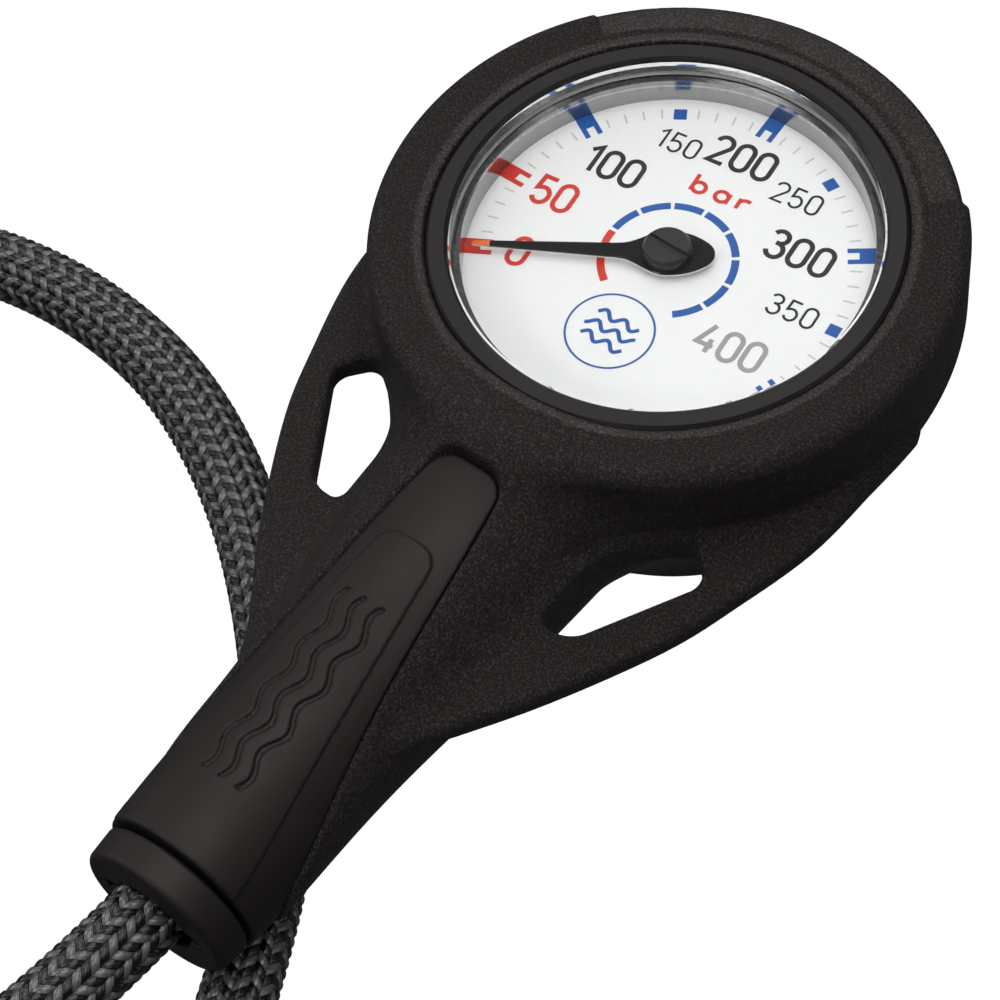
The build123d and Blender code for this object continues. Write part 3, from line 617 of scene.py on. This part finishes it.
def sleeve_field(x, y, z):
    """Sleeve inside the shell. It comes up into the window and carries the panel."""
    rho = np.hypot(x, z - GRIP_Z)
    radius = grip_radius(y)
    tail = np.clip((y - SHELL_END) / (SLEEVE_END - SHELL_END), 0, 1)
    plain = rho - radius + 1.65
    window = join(tongue(x, y, z, WINDOW_TOP, WINDOW_SHAPE, 2.6), y - SHELL_END, 3.0)
    body = np.minimum(plain, meet(rho - radius + 0.38, window + GROOVE, 0.25))
    panel = tongue(x, y, z, PANEL_TOP, PANEL_SHAPE, 2.2)
    body = np.minimum(body, meet(rho - radius + 0.12, panel, 0.25))
    across = np.arctan2(x, z - GRIP_Z) * radius
    swing = WAVE_HEIGHT * np.sin((y - WAVES_FROM) * 2 * math.pi / WAVE_LENGTH)
    nearest = np.clip(np.round((across - swing) / WAVE_GAP), -1, 1)
    wave = np.abs(across - swing - nearest * WAVE_GAP) - 0.32
    wave = np.maximum(np.maximum(wave, y - WAVES_FROM), WAVES_TO - y)
    body = without(body, np.maximum(wave, radius - 0.48 - rho), 0.15)
    end = rho - (10.1 - 0.25 * tail)
    body = np.minimum(body, np.maximum(end, y - SHELL_END + 0.15))
    body = meet(body, SLEEVE_END - y, 0.35)
    body = np.maximum(body, y - SLEEVE_TOP)
    body = meet(body, GRIP_FLAT_Z - z, 0.5)
    bore = np.where(y > FERRULE_START, rho - SLEEVE_BORE_R, rho - SLEEVE_MOUTH_R)
    return np.maximum(body, -bore)


def collar_field(x, y, z):
    """End collar, with a spigot into the sleeve and a cross slot at the hose's hole."""
    rho = np.hypot(x, z - GRIP_Z)
    body = meet(rho - COLLAR_R - (y - COLLAR_END) * 0.05, COLLAR_END - y, 0.9)
    body = meet(body, y - COLLAR_START, 0.3)
    spigot = np.maximum(rho - 8.2, np.maximum(y - COLLAR_START - 0.5, -94.0 - y))
    body = np.minimum(body, spigot)
    hole = rho - 5.0
    notch = np.maximum(np.abs(z - GRIP_Z - 0.4) - 1.1, np.abs(x) - 6.6)
    inner = np.minimum(hole, notch)
    return without(body, inner, 0.3)


BOOT_STEP, SLEEVE_STEP, COLLAR_STEP = 0.36, 0.26, 0.22
SMOOTH_GRAIN = 0.12         # how much of the grain shows on the smooth stretch of the rim


def mark_grain(boot):
    """Full grain on the boot, and almost none on the smooth stretch of its rim."""
    points = np.empty(len(boot.data.vertices) * 3, np.float32)
    boot.data.vertices.foreach_get("co", points)
    x, y, z = points.reshape(-1, 3).T / MM
    r = np.hypot(x, y)
    smooth = np.abs(np.degrees(np.arctan2(x, y))) < RECESS_HALF_ANGLE
    smooth &= (r > RECESS_CREST_R - 0.1) & (z > HEAD_WALL_LOW + 0.5)
    smooth |= (r < 29.5) & (z > 30.0)
    grain = boot.data.attributes.new("grain", "FLOAT", "POINT")
    grain.data.foreach_set("value", np.where(smooth, SMOOTH_GRAIN, 1.0).astype(np.float32))


def stand_for(obj, node, material):
    """Put a piece on the root body in the place of a CAD node."""
    obj.data.materials.append(material)
    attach(obj, "root")
    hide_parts(node)


def make_boot():
    """Boot, grip sleeve and end collar, each meshed from its field."""
    boot = surface_of("boot", boot_field, (-37.5, -90.0, -1.5), (37.5, 37.0, 37.5), BOOT_STEP)
    mark_grain(boot)
    boot_rubber = moulded("boot_rubber", (0.0105, 0.0078, 0.0075), 0.46, grain=0.95, grain_size=0.30,
                          depth=0.42, masked=True)
    stand_for(boot, "boot_shell", boot_rubber)
    smooth_rubber = moulded("sleeve_rubber", (0.0135, 0.0108, 0.0104), 0.56, grain=0.35, grain_size=0.22,
                            depth=0.08)
    sleeve = surface_of("sleeve", sleeve_field, (-14.5, -93.0, 4.0), (14.5, -35.0, 34.0), SLEEVE_STEP)
    stand_for(sleeve, "grip_sleeve", smooth_rubber)
    collar = surface_of("collar", collar_field, (-10.5, -98.6, 8.6), (10.5, -91.0, 29.4), COLLAR_STEP)
    stand_for(collar, "end_collar", smooth_rubber)


# ---------------------------------------------------------------- dial
DIAL_LIFT = 0.02
ZERO_MARK = -118.4          # clockwise from the boot's far end
PER_BAR = 0.579
RED, BLUE, BLACK, GREY, PALE = range(5)
MARK_IN, MARK_FORK, MARK_OUT = 21.0, 22.4, 24.28      # radii of a forked mark
LONG_MARKS = (0, 50, 100, 200, 300, 400)
RING_R, RING_WIDTH, RING_STEP, RING_START = 7.95, 0.95, 29.0, -147.4
EMBLEM, EMBLEM_R = (0.34, -12.1), 5.25


def on_dial(radius, clock_angle):
    a = math.radians(clock_angle)
    return (radius * math.sin(a), radius * math.cos(a))


class Print:
    """Collects flat printed shapes on the dial plate, each with its ink."""

    def __init__(self):
        self.points, self.faces, self.inks = [], [], []
        self.lift = 0.0

    def polygon(self, corners, ink):
        start = len(self.points)
        self.points += [(x, y, DIAL_FACE + DIAL_LIFT + self.lift) for x, y in corners]
        self.faces.append(range(start, start + len(corners)))
        self.inks.append(ink)

    def ribbon(self, path, width, ink, closed=False):
        """A band of even width along a path of points."""
        p = np.array(path, float)
        ahead = np.roll(p, -1, 0) - p
        behind = p - np.roll(p, 1, 0)
        if not closed:
            ahead[-1], behind[0] = behind[-1], ahead[0]
        ahead /= np.linalg.norm(ahead, axis=1)[:, None]
        behind /= np.linalg.norm(behind, axis=1)[:, None]
        bend = ahead + behind
        bend /= np.linalg.norm(bend, axis=1)[:, None]
        out = np.stack([-bend[:, 1], bend[:, 0]], 1)
        stretch = 1 / np.maximum((bend * ahead).sum(1), 0.5)
        left, right = p + out * (width / 2 * stretch)[:, None], p - out * (width / 2 * stretch)[:, None]
        last = len(p) if closed else len(p) - 1
        for i in range(last):
            j = (i + 1) % len(p)
            self.polygon([left[i], right[i], right[j], left[j]], ink)

    def radial_bar(self, clock, inner, outer, width, ink, shift=0.0):
        a = math.radians(clock)
        out, side = np.array([math.sin(a), math.cos(a)]), np.array([math.cos(a), -math.sin(a)])
        corners = [out * r + side * (shift + w) for r, w in ((inner, -width / 2), (outer, -width / 2),
                                                             (outer, width / 2), (inner, width / 2))]
        self.polygon(corners, ink)

    def arc(self, radius, width, start, end, ink, step=3.0):
        count = max(int(abs(end - start) / step), 2)
        path = [on_dial(radius, start + (end - start) * k / count) for k in range(count + 1)]
        self.ribbon(path, width, ink)

    def finish(self, name, inks):
        piece = mesh_from(name, self.points, self.faces, smooth=False)
        for ink in inks:
            piece.data.materials.append(ink)
        piece.data.polygons.foreach_set("material_index", self.inks)
        return piece


def arc_path(cx, cy, rx, ry, start, end, count=14):
    """Part of an ellipse, angles anticlockwise from +X."""
    return [(cx + rx * math.cos(math.radians(start + (end - start) * k / count)),
             cy + ry * math.sin(math.radians(start + (end - start) * k / count))) for k in range(count + 1)]


def glyph(letter):
    """Strokes of one character on a box 1 high, and its width. Narrow, even-stroked, with round corners."""
    w = 0.50
    m = w / 2
    if letter == "0":
        top, bottom = arc_path(m, 0.74, m, 0.26, 0, 180), arc_path(m, 0.26, m, 0.26, 180, 360)
        return [(top + bottom, True)], w
    if letter == "1":
        return [([(0.0, 0.78), (0.26, 1.0), (0.26, 0.0)], False)], 0.30
    if letter == "2":
        hook = arc_path(m, 0.74, m, 0.26, 170, -28)
        return [(hook + [(0.02, 0.0), (w + 0.01, 0.0)], False)], w
    if letter == "3":
        upper = arc_path(m - 0.02, 0.77, m - 0.02, 0.23, 160, -90)
        lower = arc_path(m, 0.27, m, 0.27, 90, -165)
        return [(upper[:-1] + [(0.17, 0.54)], False), ([(0.17, 0.54)] + lower[1:], False)], w
    if letter == "4":
        return [([(0.30, 1.0), (0.0, 0.27), (0.52, 0.27)], False), ([(0.39, 0.50), (0.39, 0.0)], False)], 0.52
    if letter == "5":
        bowl = arc_path(m, 0.30, m, 0.30, 112, -155)
        return [([(w - 0.03, 1.0), (0.06, 1.0), (0.03, 0.52)] + bowl, False)], w
    if letter == "b":
        bowl = arc_path(m, 0.30, m, 0.30, 180, -180, 24)
        return [([(0.0, 1.0), (0.0, 0.0)], False), (bowl[:-1], True)], w
    if letter == "a":
        bowl = arc_path(m, 0.30, m, 0.30, 0, 360, 24)
        return [([(w, 0.60), (w, 0.0)], False), (bowl[:-1], True)], w
    if letter == "r":
        hook = arc_path(0.26, 0.32, 0.26, 0.28, 170, 60, 8)
        return [([(0.0, 0.62), (0.0, 0.0)], False), (hook, False)], 0.36
    raise ValueError(letter)


def write_on_dial(sheet, text, centre, height, stroke, ink, turn, gap=0.20, widen=1.0):
    """Set a short text with its middle at centre, turned anticlockwise in degrees."""
    parts, pen = [], 0.0
    for letter in text:
        strokes, width = glyph(letter)
        for path, closed in strokes:
            parts.append(([((x + pen) * widen, y) for x, y in path], closed))
        pen += width + gap
    middle = (pen - gap) * widen / 2
    c, s = math.cos(math.radians(turn)), math.sin(math.radians(turn))
    inner = height - stroke
    for number, (path, closed) in enumerate(parts):
        sheet.lift = 0.006 * (number % 3)      # crossing strokes never share a plane
        placed = []
        for x, y in path:
            px, py = (x - middle) * inner, (y - 0.5) * inner
            placed.append((centre[0] + px * c - py * s, centre[1] + px * s + py * c))
        sheet.ribbon(placed, stroke, ink, closed)
    sheet.lift = 0.0


TEXT_TURN = 6.0
BIG_NUMBERS = (("0", RED, (-15.4, -8.65)), ("50", RED, (-17.03, 0.45)), ("100", BLACK, (-13.57, 7.80)),
               ("200", BLACK, (-1.26, 17.28)), ("300", BLACK, (12.40, 9.26)), ("400", GREY, (13.30, -6.30)))
SMALL_NUMBERS = (("150", BLACK, (-9.03, 14.90)), ("250", BLACK, (7.60, 15.80)), ("350", BLACK, (16.35, 1.88)))


def make_dial():
    """Scale marks, the ring of arcs round the hub, a plain emblem of three waves, and the numbers."""
    inks = [printed("ink_red", (0.66, 0.028, 0.014)), printed("ink_blue", (0.008, 0.095, 0.38)),
            printed("ink_black", (0.012, 0.012, 0.014)), printed("ink_grey", (0.33, 0.33, 0.33)),
            printed("ink_pale", (0.58, 0.58, 0.57))]
    sheet = Print()
    for bar in range(0, 401, 10):
        clock = ZERO_MARK + bar * PER_BAR
        ink = RED if bar < 100 and bar % 50 == 0 else BLUE
        if bar in LONG_MARKS:
            sheet.radial_bar(clock, MARK_FORK, MARK_OUT, 2.25, ink)
            for side in (-1, 1):
                sheet.radial_bar(clock, MARK_IN, MARK_FORK, 0.65, ink, shift=side * 0.8)
        elif bar % 50 == 0:
            sheet.radial_bar(clock, 21.15, 22.75, 1.6, ink)
        else:
            sheet.radial_bar(clock, 21.35, 22.75, 0.22, PALE)
    for k in range(10):
        start = RING_START + RING_STEP * k
        sheet.arc(RING_R, RING_WIDTH, start + 1.6, start + RING_STEP - 1.6, RED if k < 2 else BLUE)
    sheet.ribbon(arc_path(*EMBLEM, EMBLEM_R, EMBLEM_R, 0, 360, 72)[:-1], 0.26, BLUE, closed=True)
    for k in (-1, 0, 1):
        reach = 3.3 - 0.5 * abs(k)
        wave = [(EMBLEM[0] + t, EMBLEM[1] + k * 1.75 + 0.5 * math.sin(t * 2.4)) for t in
                np.linspace(-reach, reach, 36)]
        sheet.ribbon(wave, 0.5, BLUE)
    for text, ink, centre in BIG_NUMBERS:
        write_on_dial(sheet, text, centre, 4.6, 0.62, ink, TEXT_TURN, gap=0.22, widen=1.02)
    for text, ink, centre in SMALL_NUMBERS:
        write_on_dial(sheet, text, centre, 3.15, 0.33, ink, TEXT_TURN, gap=0.24, widen=1.06)
    write_on_dial(sheet, "bar", (-0.35, 11.60), 3.1, 0.52, RED, TEXT_TURN, gap=0.42, widen=1.3)
    piece = sheet.finish("dial_print", inks)
    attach(piece, "root")


# ---------------------------------------------------------------- pointer
ZERO_ANGLE = 209.7           # from +X towards +Y
POINTER_HALF = ((-5.6, 0.0), (-5.55, 0.5), (-5.3, 1.05), (-4.8, 1.6), (-3.9, 2.2), (-2.9, 2.7), (-1.9, 3.0),
                (-1.1, 3.15), (-0.2, 3.25), (0.6, 3.2), (1.5, 2.95), (2.4, 2.5), (3.4, 1.9), (4.4, 1.4),
                (5.2, 1.15), (6.2, 1.05), (21.1, 0.42), (23.1, 0.22), (23.3, 0.0))
TIP_START = 21.1
EDGE_BLACK_FROM = 29.3      # the needle's underside and lower edge are white


def make_pointer():
    """Flat needle with broken edges. Its last two millimetres are orange."""
    upper = list(POINTER_HALF)
    outline = upper + [(x, -y) for x, y in reversed(upper[1:-1])]
    levels = ((29.02, 0.06), (29.1, 0.0), (29.3, 0.0), (29.42, 0.0), (29.5, 0.1))
    turn = math.radians(ZERO_ANGLE)
    points, faces = [], []
    for z, inset in levels:
        for x, y in outline:
            side = y - math.copysign(min(inset, abs(y) * 0.6), y) if y else 0.0
            end = x - math.copysign(inset, x) if abs(y) < 0.25 else x
            points.append((end * math.cos(turn) - side * math.sin(turn),
                           end * math.sin(turn) + side * math.cos(turn), z))
    n = len(outline)
    for level in range(len(levels) - 1):
        for i in range(n):
            j = (i + 1) % n
            faces.append((level * n + j, level * n + i, (level + 1) * n + i, (level + 1) * n + j))
    last = (len(levels) - 1) * n
    top = list(range(last, last + n))
    for low, high in ((top, False), (list(range(n)), True)):
        for i in range(len(upper) - 1):
            a, b = low[i], low[i + 1]
            c, d = low[(n - i - 1) % n if i + 1 < len(upper) - 1 else i + 1], low[(n - i) % n]
            corners = list(dict.fromkeys((a, b, c, d)))
            faces.append(corners if high else corners[::-1])
    pointer = mesh_from("needle", points, faces, smooth=False)
    pointer.data.materials.append(printed("pointer_black", (0.008, 0.008, 0.009), 0.16))
    pointer.data.materials.append(printed("pointer_orange", (0.85, 0.17, 0.02), 0.3))
    pointer.data.materials.append(printed("pointer_white", (0.85, 0.85, 0.84), 0.4))
    for face in pointer.data.polygons:
        distance = math.hypot(face.center.x, face.center.y) / MM
        low = face.center.z / MM < EDGE_BLACK_FROM
        face.material_index = 2 if low else 1 if distance > TIP_START else 0
    fix_outward(pointer)
    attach(pointer, "pointer")
    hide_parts("pointer")


# ---------------------------------------------------------------- far fitting
END_FITTING = (18.0, -141.5, 7.0)
END_HEADING = 272.0
THREAD_PITCH = 1.27
TAIL_START, HEX_START, HEX_END = 21.9, 22.3, 31.0      # distances from the hose's end
THREAD_START, FITTING_END = 33.2, 43.0
TAIL_R, HEX_FLAT_R, NECK_R, THREAD_ROOT_R, THREAD_DEPTH = 4.5, 7.0, 4.4, 4.78, 0.776


def fitting_radius(s, turn):
    """Radius of the far fitting at a distance from the hose's end and an angle round it."""
    flats = HEX_FLAT_R / np.cos((turn % (math.pi / 3)) - math.pi / 6)
    edge = np.minimum(np.minimum(s - HEX_START, HEX_END - s), 0.9)
    hexagon = np.minimum(flats, 7.2 + np.clip(edge, 0, 0.9) * 1.15)
    phase = ((s - THREAD_START) / THREAD_PITCH - turn / (2 * math.pi)) % 1.0
    ridge = np.clip(1.35 - np.abs(phase - 0.5) * 3.6, 0, 1)
    ends = np.clip(np.minimum(s - THREAD_START, FITTING_END - s) / 0.9, 0, 1)
    thread = THREAD_ROOT_R + THREAD_DEPTH * ridge * ends
    beyond_hexagon = np.where(s < THREAD_START, NECK_R, thread)
    return np.where(s < HEX_START, TAIL_R, np.where(s < HEX_END, hexagon, beyond_hexagon))


def make_fitting():
    """Male fitting with a hexagon, a neck for its O-ring, a cut thread and a bored nose."""
    edge = 0.01         # each step in the outline has a ring just before it and one just after it
    s = np.r_[TAIL_START, HEX_START - edge, np.linspace(HEX_START + edge, 23.3, 5),
              np.linspace(23.6, 29.8, 3), np.linspace(30.0, HEX_END - edge, 5),
              HEX_END + edge, THREAD_START - edge,
              np.arange(THREAD_START + edge, FITTING_END, THREAD_PITCH / 9), FITTING_END]
    around = np.linspace(0, 2 * math.pi, 96, endpoint=False)
    radius = fitting_radius(s[:, None], around[None, :])
    nose = [(FITTING_END, 3.9), (FITTING_END, 1.4), (FITTING_END - 0.4, 1.2), (24.0, 1.2)]
    rings = [(np.full_like(around, a), r) for a, r in zip(s, radius)]
    rings += [(np.full_like(around, a), np.full_like(around, r)) for a, r in nose]
    rings = [(np.full_like(around, TAIL_START), np.full_like(around, 2.5))] + rings
    axis = Vector((math.cos(math.radians(END_HEADING)), math.sin(math.radians(END_HEADING)), 0))
    side = Vector((-axis.y, axis.x, 0))
    points = []
    for along, r in rings:
        for a, q, t in zip(along, r, around):
            points.append((END_FITTING[0] + axis.x * a + side.x * q * math.cos(t),
                           END_FITTING[1] + axis.y * a + side.y * q * math.cos(t),
                           END_FITTING[2] + q * math.sin(t)))
    n = len(around)
    quads = [(i * n + j, i * n + (j + 1) % n, (i + 1) * n + (j + 1) % n, (i + 1) * n + j)
             for i in range(len(rings) - 1) for j in range(n)]
    fitting = quads_from("threaded_fitting", np.array(points), np.array(quads), smooth=False)
    fix_outward(fitting)
    fitting.data.set_sharp_from_angle(angle=math.radians(35))
    fitting.data.polygons.foreach_set("use_smooth", [True] * len(quads))
    fitting.data.materials.append(metal("plated_fitting", (0.78, 0.78, 0.77), 0.14))
    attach(fitting, "root")
    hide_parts("port_fitting")
    return fitting


# ---------------------------------------------------------------- carried-over CAD nodes
def dress(node, material):
    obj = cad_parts[node]
    obj.data.materials.clear()
    obj.data.materials.append(material)


def dress_nodes():
    brass = metal("brass", (0.72, 0.52, 0.23), 0.28)
    steel = metal("steel", (0.56, 0.56, 0.57), 0.25)
    plated = metal("plated_brass", (0.78, 0.78, 0.77), 0.12)
    bronze = metal("spring_bronze", (0.66, 0.42, 0.2), 0.3)
    seal = moulded("seal_rubber", (0.015, 0.015, 0.015), 0.45)
    dress("gauge_case", metal("case_metal", (0.60, 0.58, 0.54), 0.3))
    dress("blowout_plug", moulded("plug_plastic", (0.03, 0.03, 0.03), 0.4))
    dress("bezel_ring", moulded("bezel_plastic", (0.012, 0.0115, 0.011), 0.42))
    dress("lens", clear_lens())
    dress("dial_ring", metal("dial_ring_bright", (0.40, 0.40, 0.40), 0.16, brushed=0.4))
    dress("dial_plate", printed("dial_white", (0.90, 0.90, 0.89), 0.4))
    dress("pointer_hub", moulded("hub_black", (0.018, 0.017, 0.016), 0.34, grain=0.4, grain_size=0.25))
    for node in ("sector_gear", "lower_plate", "upper_plate", "plate_pillars", "link_bar", "bourdon_tip",
                 "restrictor"):
        dress(node, brass)
    for node in ("pinion_arbor", "sector_arbor", "plate_screws", "movement_screws", "link_pin", "tip_pin",
                 "crimp_ferrule", "far_ferrule"):
        dress(node, steel)
    for node in ("inlet_socket", "air_spool", "swivel_nut", "hose_insert"):
        dress(node, plated)
    for node in ("hairspring", "bourdon_tube"):
        dress(node, bronze)
    for node in ("stem_o_ring", "spool_o_rings", "port_o_ring"):
        dress(node, seal)
    dress("lens_gasket", moulded("seal_white", (0.78, 0.78, 0.77), 0.4))


# ---------------------------------------------------------------- stage
def camera_only(obj):
    """Let the camera see a backdrop that lights and mirrors nothing."""
    obj.visible_diffuse = False
    obj.visible_glossy = False


def glowing(name, strength):
    material, _, _, shader = new_material(name)
    shader.inputs["Base Color"].default_value = (0.0, 0.0, 0.0, 1)
    shader.inputs["Roughness"].default_value = 0.9
    shader.inputs["Specular IOR Level"].default_value = 0.0
    shader.inputs["Emission Color"].default_value = (1, 1, 1, 1)
    shader.inputs["Emission Strength"].default_value = strength
    return material


STAGE_GLOW, WORLD_GLOW = 1.05, 0.07
STAGE_HALF = 3000
LAMP_AIM = (0, -30, 15)
# Soft boxes: place, width and height in millimetres, and radiance.
LAMPS = (("top_box", (60, 60, 900), 900, 700, 2.5), ("far_box", (-500, 640, 560), 700, 500, 1.1),
         ("left_strip", (-760, -160, 380), 200, 700, 2.6), ("right_strip", (720, 240, 420), 200, 700, 0.8),
         ("near_strip", (-160, -560, 620), 700, 140, 3.4))


def make_stage():
    corners = [(x * STAGE_HALF, y * STAGE_HALF, 0) for x, y in ((-1, -1), (1, -1), (1, 1), (-1, 1))]
    floor = mesh_from("floor", corners, [(0, 1, 2, 3)], smooth=False)
    floor.data.materials.append(glowing("floor_paint", STAGE_GLOW))
    camera_only(floor)
    bpy.ops.mesh.primitive_uv_sphere_add(segments=48, ring_count=24, radius=6.0)
    dome = bpy.context.object
    dome.name = "backdrop"
    dome.data.materials.append(glowing("backdrop_paint", STAGE_GLOW))
    camera_only(dome)
    dome.visible_shadow = False
    dome.visible_transmission = False
    world = bpy.data.worlds.new("studio")
    world.use_nodes = True
    sky = world.node_tree.nodes["Background"]
    sky.inputs["Color"].default_value = (1.0, 1.0, 1.0, 1)
    sky.inputs["Strength"].default_value = WORLD_GLOW
    bpy.context.scene.world = world
    for name, place, width, height, radiance in LAMPS:
        data = bpy.data.lights.new(name, "AREA")
        data.shape = "RECTANGLE"
        data.size = width * MM
        data.size_y = height * MM
        data.energy = radiance * math.pi * width * height * MM * MM
        lamp = bpy.data.objects.new(name, data)
        lamp.location = Vector(place) * MM
        aim = Vector(LAMP_AIM) * MM - lamp.location
        lamp.rotation_euler = aim.to_track_quat("-Z", "Y").to_euler()
        bpy.context.scene.collection.objects.link(lamp)
    bpy.context.scene.view_settings.view_transform = "Standard"


make_camera()
make_hose(make_fitting())
make_boot()
make_dial()
make_pointer()
dress_nodes()
make_stage()
